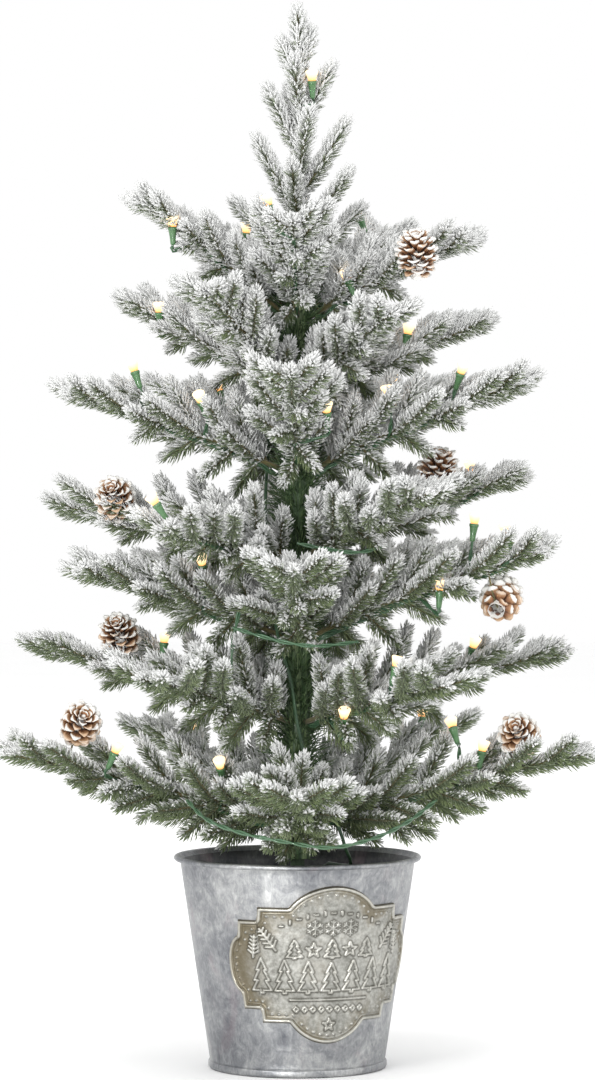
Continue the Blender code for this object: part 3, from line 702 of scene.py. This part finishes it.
def distanceTo(spots, starts, ends):  # shortest distance from each spot to any of the segments
    nearest = np.full(len(spots), 1.0)
    for a, b in zip(np.asarray(starts, float), np.asarray(ends, float)):
        run = b - a
        share = ((spots - a) @ run / max(run @ run, 1e-12)).clip(0, 1)
        nearest = np.minimum(nearest, np.linalg.norm(spots - a - share[:, None] * run, axis=1))
    return nearest


def rounded(distance, half):  # 1 on a stroke's middle line, 0 from its edge outwards
    return np.sqrt(np.maximum(1 - (distance / half) ** 2, 0))


def snowflake(x, y, radius):
    strokes = []
    for arm in range(6):
        turn = math.radians(60 * arm + 30)
        tip = np.array([x + radius * math.cos(turn), y + radius * math.sin(turn)])
        strokes.append(((x, y), tip))
        for side in (-1, 1):
            fork = np.array([x, y]) + (tip - (x, y)) * 0.62
            barb = turn + side * math.radians(50)
            strokes.append((fork, fork + radius * 0.34 * np.array([math.cos(barb), math.sin(barb)])))
    return strokes


def sprig(x, y, length, heading):
    turn = math.radians(heading)
    along = np.array([math.cos(turn), math.sin(turn)])
    aside = np.array([-along[1], along[0]])
    strokes = [((x, y), (x, y) + along * length)]
    for place in (0.15, 0.33, 0.51, 0.69, 0.86):
        for hand in (-1, 1):
            fork = np.array([x, y]) + along * length * place
            strokes.append((fork, fork + (along * 0.7 + aside * hand) * length * 0.22 * (1.15 - place * 0.6)))
    return strokes


def firMotif(x, foot, height, half):  # a small stylised fir: three skirts and a trunk, left then right
    profile = ((0, 1.0), (0.50, 0.66), (0.26, 0.66), (0.78, 0.36), (0.42, 0.36), (1.0, 0.08), (0.16, 0.08),
               (0.16, 0.0), (0, 0))
    strokes = []
    for side in (-1, 1):
        points = [np.array([x + side * w * half, foot + h * height]) for w, h in profile]
        strokes += list(zip(points, points[1:]))
    return strokes


def starMotif(x, y, radius):
    points = []
    for corner in range(11):
        turn, arm = math.pi * corner / 5, radius * (0.42 if corner % 2 else 1)
        points.append(np.array([x + arm * math.sin(turn), y + arm * math.cos(turn)]))
    return list(zip(points, points[1:]))


def plaqueRim():
    columns = np.linspace(-plaqueHalfWidth, plaqueHalfWidth, 700)
    edge = plaqueEdge(columns)
    rim = np.concatenate([np.stack([columns, edge], 1), np.stack([columns[::-1], -edge[::-1]], 1)])
    rim = np.concatenate([rim, rim[:1]])
    return sampled(rim, np.linspace(0, pathLength(rim), 340))[0]


def rimBeads(rim):
    slope = unit(np.gradient(rim, axis=0))
    inwards = np.stack([slope[:, 1], -slope[:, 0]], 1)
    track = rim + inwards * plaque["beadInset"]
    beads, last = [], None
    for spot in track[distanceTo(track, rim[:-1], rim[1:]) > plaque["beadInset"] * 0.93]:
        if last is None or np.linalg.norm(spot - last) >= plaque["beadPitch"]:
            beads.append(spot)
            last = spot
    return beads


def plaqueMotifs():
    strokes = []
    for side in (-1, 1):
        strokes += sprig(side * 0.0310, 0.0085, 0.0150, 90 - side * 34)
        strokes += sprig(side * 0.0440, 0.0045, 0.0125, 90 + side * 6)
    for index in range(5):
        x = (index - 2) * 0.0104
        strokes += starMotif(x, 0.0088, 0.0042) if index % 2 else firMotif(x, 0.0042, 0.0104, 0.0043)
    for index in range(7):
        x = (index - 3) * 0.0132
        strokes += firMotif(x, -0.0158, 0.0172 + 0.0009 * abs(index - 3), 0.0056)
    strokes += [((-0.0235, -0.0195), (0.0235, -0.0195))]
    for index in range(9):
        x, y, half = (index - 4) * 0.0050, -0.0250, 0.0015
        diamond = ((x - half, y), (x, y + half), (x + half, y), (x, y - half), (x - half, y))
        strokes += list(zip(diamond, diamond[1:]))
    for index in range(13):
        x = (index - 6) * 0.0046
        y = 0.0298 - x ** 2 * 9.5
        strokes += [((x, y - 0.0009), (x, y + 0.0009))] if index % 2 else [((x - 0.0008, y), (x + 0.0008, y))]
    strokes += starMotif(0.0, -0.0340, 0.0036)
    return strokes


def plaqueRelief(spots):
    rim, half = plaqueRim(), plaque["strokeHalf"]
    inset = distanceTo(spots, rim[:-1], rim[1:])
    beads = rimBeads(rim)
    height = plaque["borderRise"] * rounded(inset - plaque["border"], plaque["borderHalf"])
    height += plaque["innerRise"] * rounded(inset - plaque["innerLine"], plaque["innerHalf"])
    height += plaque["beadRise"] * rounded(distanceTo(spots, beads, beads), plaque["beadRadius"])
    strokes = plaqueMotifs()
    drawn = distanceTo(spots, [a for a, _ in strokes], [b for _, b in strokes])
    height += plaque["strokeRise"] * rounded(drawn, half)
    flakes = [stroke for x in (-0.0098, 0.0, 0.0098) for stroke in snowflake(x, 0.0212, 0.0044)]
    fine = distanceTo(spots, [a for a, _ in flakes], [b for _, b in flakes])
    height += plaque["strokeRise"] * 0.8 * rounded(fine, half * 0.62)
    drawn = np.minimum(drawn, fine + half * 0.38)
    # a dark band round the foot of each raised stroke and flake: painted shade
    ring = np.exp(-(np.maximum(drawn - half, 0) / plaque["ringWidth"]) ** 2) * (drawn > half)
    return height, inset, ring


def makePlaque():
    across = np.linspace(-plaqueHalfWidth * 0.9985, plaqueHalfWidth * 0.9985, plaque["columns"])
    share = np.linspace(-1, 1, plaque["rows"])
    columns = np.repeat(across[:, None], len(share), 1)
    spots = np.stack([columns, plaqueEdge(across)[:, None] * share], 2).reshape(-1, 2)
    relief, inset, ring = plaqueRelief(spots)
    edgeFall = np.clip(inset / plaque["edgeFall"], 0, 1) ** 0.5
    depth = np.where(inset < 0.0002, 0.0002, 0.0004 + (plaque["stand"] + relief) * edgeFall)
    height = plaqueMiddle + spots[:, 1]
    radius = wallRadius(height) + depth
    angle = plaqueTurn + spots[:, 0] / wallRadius(plaqueMiddle)
    points = np.stack([radius * np.cos(angle), radius * np.sin(angle), height], 1)
    rows, columns = plaque["rows"], plaque["columns"]
    a = (np.arange(columns - 1)[:, None] * rows + np.arange(rows - 1)).ravel()
    quads = np.stack([a, a + rows, a + rows + 1, a + 1], 1)
    unwrapped = spots / np.array([plaqueHalfWidth, plaqueHalfHeight]) * 0.49 + 0.5
    piece = newPiece("plaqueRelief", points, quads, [brassFinish()], "bucket_and_trunk",
                     uv=unwrapped[quads.ravel()])
    # how high the relief stands: it drives the rubbed wear and a painted highlight on the raised tops
    wear, tarnish = (relief / plaque["borderRise"]).clip(0, 1), np.exp(-inset / plaque["tarnishReach"])
    shades = {"wear": wear, "tarnish": tarnish, "ring": ring}
    for name, values in shades.items():
        layer = piece.data.attributes.new(name, "FLOAT", "POINT")
        layer.data.foreach_set("value", values.astype(np.float32))
    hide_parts("plaque")


def brassFinish():
    finish = Finish("agedBrass")
    wear, tarnish, ring = (finish.node("Attribute", {"attribute_name": name}, None, "Fac")
                           for name in ("wear", "tarnish", "ring"))
    cloud = finish.noise(48.0, 4.0, 0.6, distortion=0.8)
    speck = finish.noise(420.0, 5.0, 0.65)
    sideways = finish.part(finish.at(), "X")
    leftwards = finish.step(sideways + cloud * 0.03, 0.010, -0.022)
    metal = finish.ramp(speck * 0.5 + cloud * 0.5, (0.36, (0.200, 0.198, 0.178)),
                        (0.5, (0.360, 0.358, 0.330)), (0.64, (0.600, 0.595, 0.560)))
    patina = finish.step(tarnish * 0.42 + cloud * 0.9 + leftwards * 0.24 - wear * 0.35, 0.46, 0.80)
    aged = finish.mix(patina * 0.80, metal, (0.125, 0.098, 0.048))
    # the band round the raised strokes darkened: painted shade
    aged = finish.mix(ring * 0.80, aged, (0.055, 0.050, 0.036))
    # raised tops lightened: painted highlight, together with rubbed wear
    aged = finish.mix(finish.step(wear, 0.45, 0.95) * 0.42, aged, (0.62, 0.60, 0.53))
    finish.set(BaseColor=aged, Metallic=0.9, Roughness=0.34 - wear * 0.10 + speck * 0.12)
    finish.bump(speck, 0.0002, 0.5)
    return finish


makePlaque()
print("plaque embossed")


# pine cones
cone = {
    "scales": 58, "twist": 137.508, "thickness": 0.0011, "scaleHalfWidth": 0.0037, "cup": 0.0011, "curl": 26,
    "coreShare": 0.34, "stemShare": 0.42, "wireRadius": 0.0006, "along": 6, "acrossSteps": 5,
}
coneProfile = ((0.0, 0.55), (0.12, 0.86), (0.34, 1.0), (0.58, 0.88), (0.80, 0.58), (0.95, 0.30), (1.0, 0.16))


def conePoles(node):  # foot and tip of a turned CAD cone: the two corners that most edges meet at
    mesh = frame["nodes"][node].data
    corners, which = np.unique(np.round([v.co for v in mesh.vertices], 6), axis=0, return_inverse=True)
    which = which.ravel()
    edges = {tuple(sorted(which[list(edge.vertices)])) for edge in mesh.edges}
    meeting = np.bincount(np.array(sorted(edges)).ravel())
    first, second = corners[np.argsort(-meeting, kind="stable")[:2]]
    middle = corners.mean(axis=0)
    if np.linalg.norm(second - middle) < np.linalg.norm(first - middle):
        first, second = second, first
    radius = np.linalg.norm(np.cross(corners - first, unit(second - first)), axis=1).max()
    return first, second, radius


# one scale in its own frame: x outwards, y across, z along the cone
def scaleGrid(tilt, length, halfWidth):
    t = np.linspace(0, 1, cone["along"])[:, None]
    w = np.linspace(-1, 1, cone["acrossSteps"])[None, :]
    breadth = halfWidth * np.interp(t, (0, 0.35, 0.68, 0.88, 1.0), (0.30, 0.70, 1.0, 0.86, 0.34))
    slope = tilt - math.radians(cone["curl"]) * t ** 2
    step = length / (cone["along"] - 1)
    x = np.cumsum(np.concatenate([[[0.0]], np.cos(slope[1:]) * step]), 0)
    z = np.cumsum(np.concatenate([[[0.0]], np.sin(slope[1:]) * step]), 0)
    bowl = cone["cup"] * w ** 2 * np.sin(np.pi * t * 0.8)
    thick = cone["thickness"] * np.interp(t, (0, 0.6, 0.86, 1.0), (0.6, 0.8, 1.5, 0.7))
    thick = thick * (1 - 0.45 * w ** 2)
    upper = np.stack([x - bowl * np.sin(slope), breadth * w, z + bowl * np.cos(slope) + thick / 2], 2)
    lower = np.stack([x - bowl * np.sin(slope), breadth * w, z + bowl * np.cos(slope) - thick / 2], 2)
    shade = np.repeat(t, cone["acrossSteps"], 1).ravel()
    return np.concatenate([upper.reshape(-1, 3), lower.reshape(-1, 3)]), np.concatenate([shade, shade])


def scaleFaces():
    rows, columns = cone["along"], cone["acrossSteps"]
    count = rows * columns
    a = (np.arange(rows - 1)[:, None] * columns + np.arange(columns - 1)).ravel()
    top = np.stack([a, a + columns, a + columns + 1, a + 1], 1)
    loop = np.concatenate([np.arange(columns - 1), np.arange(rows - 1) * columns + columns - 1,
                           (count - 1) - np.arange(columns - 1), (np.arange(rows - 1)[::-1] + 1) * columns])
    after = np.roll(loop, -1)
    rim = np.stack([loop, after, after + count, loop + count], 1)
    quads = np.concatenate([top, top[:, ::-1] + count, rim])
    return np.concatenate([quads[:, [0, 1, 2]], quads[:, [0, 2, 3]]])


def makeCone(node, body, finish):
    foot, tip, radius = conePoles(node)
    axis = unit(tip - foot)
    length = np.linalg.norm(tip - foot)
    side = unit(np.cross(axis, (0.3, 0.9, 0.1)))
    ahead = np.cross(axis, side)
    growth = Growth()
    core = bezierPath(foot - axis * 0.001, foot + axis * length / 2, tip - axis * 0.004, 12)
    growStem(growth, core, radius * cone["stemShare"], 0.35, 8, 8)
    faces = scaleFaces()
    for index in range(cone["scales"]):
        share = (index + 0.6) / cone["scales"]
        turn = math.radians(cone["twist"] * index + random.normal(0, 2))
        outwards = side * math.cos(turn) + ahead * math.sin(turn)
        across = np.cross(axis, outwards)
        outer = radius * np.interp(share, *zip(*coneProfile))
        inner = outer * cone["coreShare"]
        tilt = math.radians(np.interp(share, (0, 0.15, 0.6, 1.0), (-8, 22, 48, 74)))
        reach = (outer - inner) / max(0.45, math.cos(tilt)) * random.normal(1.0, 0.03)
        width = cone["scaleHalfWidth"] * np.interp(share, (0, 0.3, 1.0), (0.80, 1.0, 0.55))
        spots, shade = scaleGrid(tilt, reach * 1.02, width)
        root = foot + axis * length * (0.04 + 0.80 * share) + outwards * inner
        points = root + spots[:, :1] * outwards + spots[:, 1:2] * across + spots[:, 2:] * axis
        frost = 0.34 + 0.18 * outwards[2] + 0.30 * axis[2] * share + random.normal(0, 0.10)
        frost = frost * (shade > 0.7)
        uv = np.stack([shade, 0.10 + 0.8 * frost.clip(0, 1)], 1)
        growth.add(points[None], faces, uv[None])
    piece = growth.piece("coneScales_" + node, finish, body, "cone_scales")
    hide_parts(node)
    return foot, axis


def coneFinish():
    finish = Finish("frostedCone")
    lengthwise, frost = finish.part(finish.baked(), "X"), finish.part(finish.baked(), "Y")
    grain = finish.bakedNoise((10.0, 90.0), 4.0)
    wood = finish.ramp(lengthwise + grain * 0.3 - 0.15, (0.10, (0.060, 0.026, 0.014)),
                       (0.45, (0.240, 0.105, 0.045)), (0.72, (0.430, 0.250, 0.135)),
                       (0.92, (0.600, 0.430, 0.290)))
    cover = finish.step(frost + grain * 0.55 + lengthwise * 0.20, 0.72, 0.92)
    finish.set(BaseColor=finish.mix(cover, wood, (0.80, 0.79, 0.76)), Roughness=0.58 + cover * 0.3)
    finish.bump(grain, 0.0004, 0.6)
    return finish


def makeCones():
    finish = coneFinish()
    bodies = frame["record"]["behaviour"]["bodies"]
    for node in sorted(name for name in frame["nodes"] if name.startswith("pine_cone")):
        body = next(name for name, members in bodies.items() if node in members)
        foot, axis = makeCone(node, body, finish)
        stem = branchStem(jointOf(body))
        nearest = stem[np.linalg.norm(stem - foot, axis=1).argmin()]
        growth = Growth()
        wire = bezierPath(nearest, (nearest + foot) / 2 - axis * 0.003, foot + axis * 0.003, 12)
        growStem(growth, wire, cone["wireRadius"], 1.0, 10, 6)
        growth.piece("conePick_" + node, firCoat, body, "wire_insulation")


makeCones()
print("cones scaled")


# warm lamps on green leads
lamp = {
    "holder": ((0.0, -0.0095), (0.0013, -0.0095), (0.0015, -0.0088), (0.0018, -0.0050), (0.0024, -0.0012),
               (0.0027, -0.0008), (0.0027, 0.0004), (0.0022, 0.0006), (0.0, 0.0006)),
    "cap": ((0.0, 0.0007), (0.0021, 0.0007), (0.0024, 0.0018), (0.0031, 0.0040), (0.0036, 0.0055),
            (0.0036, 0.0061), (0.0030, 0.0066), (0.0016, 0.0062), (0.0, 0.0056)),
    "sides": 14, "lean": 16, "outwardLean": 14, "seat": 0.0040, "leadOut": 0.0052, "leadRadius": 0.00065,
    "leadStep": 0.0025, "leadTwist": 260, "leadSway": 0.0012, "underStem": 0.0030, "glow": 1.5,
}
# for each branch: share of its stem, then how far the lamp's foot stands off the stem, in millimetres
# to the right, back and up
lampPlaces = {
    "branch1_left": ((0.68, -8, -10, -2),), "branch1_front": ((0.90, -12, -2, 8),),
    "branch1_back_right": ((0.80, -5, -4, 14),), "branch1_right": ((0.24, 2, -12, 4),),
    "branch1_back_left": ((0.66, 4, 4, 12),), "branch2_right": ((0.54, 2, -10, 6),),
    "branch2_left": ((0.73, -5, -10, 2),), "branch2_back": ((0.55, 6, 4, 13),),
    "branch3_left": ((0.72, 4, -6, 18), (0.41, 3, -10, 15)),
    "branch3_right": ((0.40, -3, -10, 15), (0.71, -2, -6, 13)), "branch3_front": ((0.30, 18, -4, 10),),
    "branch3_back_left": ((0.62, 0, 5, 12),), "branch3_back_right": ((0.74, 4, 6, 10),),
    "branch4_front_left": ((0.95, -3, -4, 12),), "branch4_right": ((0.80, 0, -10, 8),),
    "branch4_back": ((0.52, -6, 4, 13),),
    "branch5_right": ((0.74, -4, -6, 22), (0.86, 0, -4, 12), (0.52, 6, -12, -6)),
    "branch5_left": ((0.44, 4, -10, 19),), "branch5_back_left": ((0.70, 0, 5, 12),),
    "branch5_back_right": ((0.55, -4, 6, 12),), "branch6_left": ((0.52, 6, -14, 16),),
    "branch6_right": ((0.64, 2, -12, 12),),
    "branch6_front_right": ((0.66, -2, -6, 12), (0.20, 6, -14, -6)),
    "branch6_back": ((0.66, 5, 5, 13),), "branch7_right": ((0.58, -8, -10, 26), (0.62, 0, -12, 11)),
    "branch7_left": ((0.63, 0, -12, 10), (0.26, 4, -12, 18)), "branch7_back_left": ((0.62, -4, 6, 12),),
    "branch7_back_right": ((0.76, 4, 6, 12),), "leader": ((0.68, 8.5, -6, 0),),
}


def lathe(outline, steps):  # a turned shape that closes at both poles, with its height as a share
    rings = np.array(outline[1:-1])
    turn = np.linspace(0, 2 * math.pi, steps, endpoint=False)
    heights = np.repeat(rings[:, 1:], steps, 1)
    points = np.stack([rings[:, :1] * np.cos(turn), rings[:, :1] * np.sin(turn), heights], 2)
    points = points.reshape(-1, 3)
    low, high = len(points), len(points) + 1
    points = np.concatenate([points, [[0, 0, outline[0][1]], [0, 0, outline[-1][1]]]])
    faces = tubeFaces(len(rings), steps, closed=False).tolist()
    top = (len(rings) - 1) * steps
    for side in range(steps):
        after = (side + 1) % steps
        faces += [(after, side, low), (top + side, top + after, high)]
    share = (points[:, 2] - points[:, 2].min()) / np.ptp(points[:, 2])
    return points, np.array(faces), share


def placed(points, spot, axis):  # the shape's own Z laid along an axis
    turn = np.array(Vector((0, 0, 1)).rotation_difference(Vector(axis)).to_matrix())
    return spot + points @ turn.T


def addShape(growth, shape, spot, axis, band):
    points, faces, share = shape
    uv = np.stack([share, np.full(len(points), band)], 1)
    growth.add(placed(points, spot, axis)[None], faces, uv[None])


def addLead(growth, route):  # two insulated strands that twist round each other along a route
    radius = lamp["leadRadius"]
    total = pathLength(route)
    count = max(10, int(total / lamp["leadStep"]))
    points, along, _ = sampled(route, np.linspace(0, total, count))
    side = unit(np.cross(along, (0.31, 0.22, 0.92)))
    ahead = np.cross(along, side)
    for phase in (0, math.pi):
        turn = np.linspace(0, total * lamp["leadTwist"], count) + phase
        strand = points + (side * np.cos(turn)[:, None] + ahead * np.sin(turn)[:, None]) * radius * 1.02
        growStem(growth, strand, radius, 1.0, count, 6)


def plasticFinish(name, dark, light, roughness, clear=0.0):
    finish = Finish(name)
    grain = finish.bakedNoise((9.0, 60.0))
    finish.set(BaseColor=finish.ramp(grain, (0.3, dark), (0.7, light)), Roughness=roughness + grain * 0.15)
    finish.shader.inputs["Coat Weight"].default_value = clear
    return finish


def glowFinish():
    finish = Finish("warmGlow")
    height = finish.part(finish.baked(), "X")
    grain = finish.bakedNoise((6.0, 12.0), 2.0, 0.5)
    light = finish.ramp(height + grain * 0.2 - 0.1, (0.05, (1.0, 0.40, 0.12)), (0.34, (1.0, 0.62, 0.30)),
                        (0.75, (1.0, 0.76, 0.48)))
    finish.set(BaseColor=finish.mix(0.6, light, (0.20, 0.15, 0.08)), Roughness=0.18 + grain * 0.1,
               EmissionColor=light)
    finish.shader.inputs["Emission Strength"].default_value = lamp["glow"]
    return finish


leadFinish = plasticFinish("greenLead", (0.030, 0.085, 0.040), (0.085, 0.170, 0.090), 0.34, 0.25)
holderFinish = plasticFinish("greenHolder", (0.045, 0.130, 0.050), (0.100, 0.215, 0.085), 0.30, 0.4)
glow = glowFinish()


def stemOf(body):
    joint = jointOf(body)
    if body != "leader":
        return branchStem(joint)
    foot = np.array(joint["pos_m"])
    top = np.array([foot[0], foot[1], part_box("top_leader")[1].z])
    return bezierPath(foot, (foot + top) / 2, top, 60)


def smoothed(points, steps=8):  # a smooth curve through points (Catmull-Rom)
    padded = np.concatenate([[points[0] * 2 - points[1]], points, [points[-1] * 2 - points[-2]]])
    t = np.linspace(0, 1, steps, endpoint=False)[:, None]
    parts = []
    for a, b, c, d in zip(padded, padded[1:], padded[2:], padded[3:]):
        curve = 2 * b + (c - a) * t + (2 * a - 5 * b + 4 * c - d) * t ** 2 + (3 * b - a - 3 * c + d) * t ** 3
        parts.append(0.5 * curve)
    return np.concatenate(parts + [points[-1:]])


def makeLamps():
    holder, cap = lathe(lamp["holder"], lamp["sides"]), lathe(lamp["cap"], lamp["sides"])
    below, upwards = np.array([0, 0, lamp["underStem"]]), np.array([0.0, 0.0, lamp["leadSway"]])
    for body in sorted(lampPlaces):
        stem = stemOf(body)
        total = pathLength(stem)
        holders, caps, leads = Growth(), Growth(), Growth()
        for share, *offset in lampPlaces[body]:
            offset = np.array(offset) / 1000
            foot = sampled(stem, np.array([share * total]))[0][0] + offset
            lean = np.radians(random.normal(0, lamp["lean"], 2))
            axis = unit(np.array([*(np.sin(lean) + offset[:2] * lamp["outwardLean"]), 1.0]))
            addShape(holders, holder, foot + axis * lamp["seat"], axis, 0.2)
            addShape(caps, cap, foot + axis * lamp["seat"], axis, 0.5)
            tail = foot - axis * lamp["leadOut"]
            away = sampled(stem, np.linspace(share * total, 0.03 * total, 14))[0] - below
            sway = np.sin(np.linspace(0, 9, 14) + share * 20)[:, None] * upwards
            route = np.concatenate([[tail, tail - axis * 0.004], away[1:] + sway[1:]])
            addLead(leads, smoothed(route))
        holders.piece("lampHolders_" + body, holderFinish, body, "wire_insulation")
        caps.piece("lampCaps_" + body, glow, body, "wire_insulation")
        leads.piece("lampLeads_" + body, leadFinish, body, "wire_insulation")


# leads that swing from branch to branch: the body each one is tied to, then its route in millimetres
swags = {
    "branch7_front": ((-62, -46, 156), (-50, -70, 147), (-30, -88, 141), (-6, -97, 137), (18, -98, 134),
                      (42, -86, 138), (62, -68, 146), (78, -46, 156)),
    "branch6_front_left": ((-33, -50, 262), (-36, -56, 246), (-38, -58, 228), (-41, -54, 210)),
    "branch5_front": ((-36, -62, 254), (-22, -68, 250), (-6, -70, 246), (12, -68, 244), (34, -58, 246)),
    "branch4_front_right": ((0, -52, 301), (16, -58, 298), (34, -56, 296), (50, -48, 300)),
}


def makeSwags():
    for body, route in swags.items():
        growth = Growth()
        addLead(growth, smoothed(np.array(route) / 1000))
        growth.piece("leadSwag_" + body, leadFinish, body, "wire_insulation")


makeLamps()
makeSwags()
print("lamps hung")


# finishes for the CAD pieces that stay: two tones, scale of the grain, roughness, then what differs
plain = {"metallic": 0.0, "bump": 0.0002, "stretch": (1.0, 1.0, 1.0)}
steel = {"metallic": 0.95, "bump": 0.0001, "stretch": (1, 1, 12)}
wrap = {"metallic": 0.35, "bump": 0.0001, "stretch": (1, 1, 20)}
coats = {
    "mouldedPlastic": ((0.020, 0.034, 0.022), (0.052, 0.075, 0.050), 900.0, 0.42, {}),
    "springSteel": ((0.46, 0.47, 0.48), (0.70, 0.70, 0.69), 600.0, 0.24, steel),
    "castWeight": ((0.20, 0.19, 0.18), (0.52, 0.50, 0.46), 260.0, 0.78, {"bump": 0.0008}),
    "paintedPole": ((0.020, 0.045, 0.018), (0.050, 0.090, 0.038), 400.0, 0.45, {}),
    "laminateBoard": ((0.015, 0.100, 0.045), (0.040, 0.190, 0.090), 500.0, 0.38, {}),
    "switchPlastic": ((0.30, 0.30, 0.29), (0.48, 0.48, 0.46), 900.0, 0.40, {}),
    "greenWire": ((0.022, 0.062, 0.028), (0.060, 0.125, 0.060), 700.0, 0.32, {"bump": 0.0001}),
    "cellWrap": ((0.055, 0.055, 0.062), (0.160, 0.150, 0.150), 120.0, 0.28, wrap),
}
dressed = {
    "rim_wire": "springSteel", "contact_springs": "springSteel", "contact_plates": "springSteel",
    "battery_case": "mouldedPlastic", "battery_lid": "mouldedPlastic", "weight_block": "castWeight",
    "trunk_pole": "paintedPole", "timer_board": "laminateBoard", "switch_knob": "switchPlastic",
    "light_wire": "greenWire", "battery_cell_1": "cellWrap", "battery_cell_2": "cellWrap",
    "battery_cell_3": "cellWrap",
}


def objectFinish(name, dark, light, scale, roughness, changes):
    style = {**plain, **changes}
    finish = Finish(name)
    place = finish.stretched(finish.at(), style["stretch"])
    grain = finish.noise(scale, 5.0, 0.6, place)
    cloud = finish.noise(scale * 0.12, 3.0, 0.5, place)
    tone = finish.ramp(grain * 0.6 + cloud * 0.4, (0.32, dark), (0.68, light))
    finish.set(BaseColor=tone, Metallic=style["metallic"], Roughness=roughness + grain * 0.16)
    finish.bump(grain, style["bump"], 0.5)
    return finish


def dressFrame():
    finishes = {name: objectFinish(name, *values) for name, values in coats.items()}
    worn = {node: finishes[name] for node, name in dressed.items()}
    worn["bucket_base"] = zincFinish("galvanisedBase", 0.6)
    for node, finish in worn.items():
        for slot in frame["nodes"][node].material_slots:
            slot.material = finish.material


dressFrame()
print("frame dressed")
